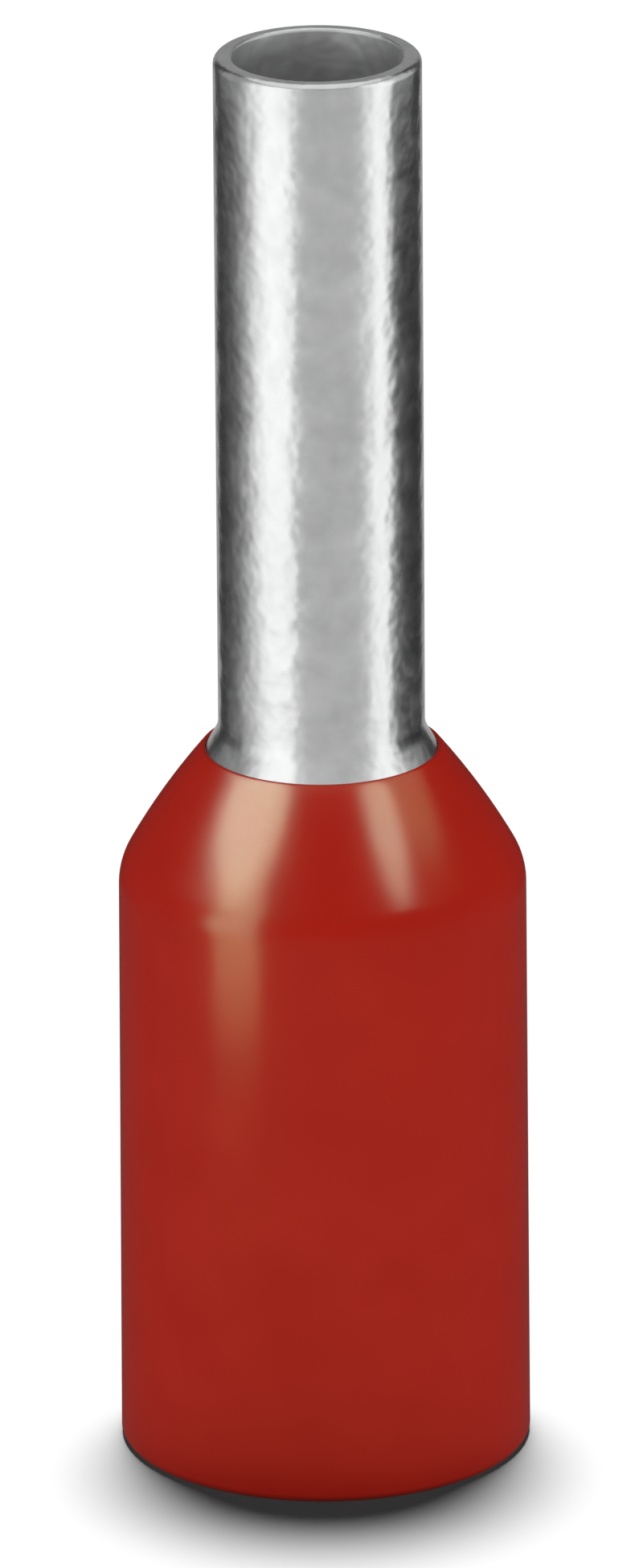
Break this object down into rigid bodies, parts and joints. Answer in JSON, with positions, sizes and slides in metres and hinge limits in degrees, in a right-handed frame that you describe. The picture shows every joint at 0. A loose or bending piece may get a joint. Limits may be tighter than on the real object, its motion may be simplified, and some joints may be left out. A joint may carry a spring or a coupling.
{
  "type": "wire ferrule",
  "caption": "Insulated wire-end ferrule: a tinned tubular sleeve, flared at its rear, held in a thin-walled red collar with a conical shoulder and an open mouth.",
  "frame": {"origin": "centre of the collar's mouth, in the plane of its rim", "axes": "+Z along the ferrule's axis, from the collar's mouth to the sleeve's tip; X and Y are alike, because the form is turned"},
  "size_m": [0.0034, 0.0034, 0.012],
  "materials": {
    "tinned_copper": "satin tin plating on copper, finely mottled",
    "red_plastic": "smooth moulded plastic with a soft sheen"
  },
  "bodies": {
    "root": {"contact_sleeve": "tinned_copper", "insulating_collar": "red_plastic"}
  },
  "joints": []
}
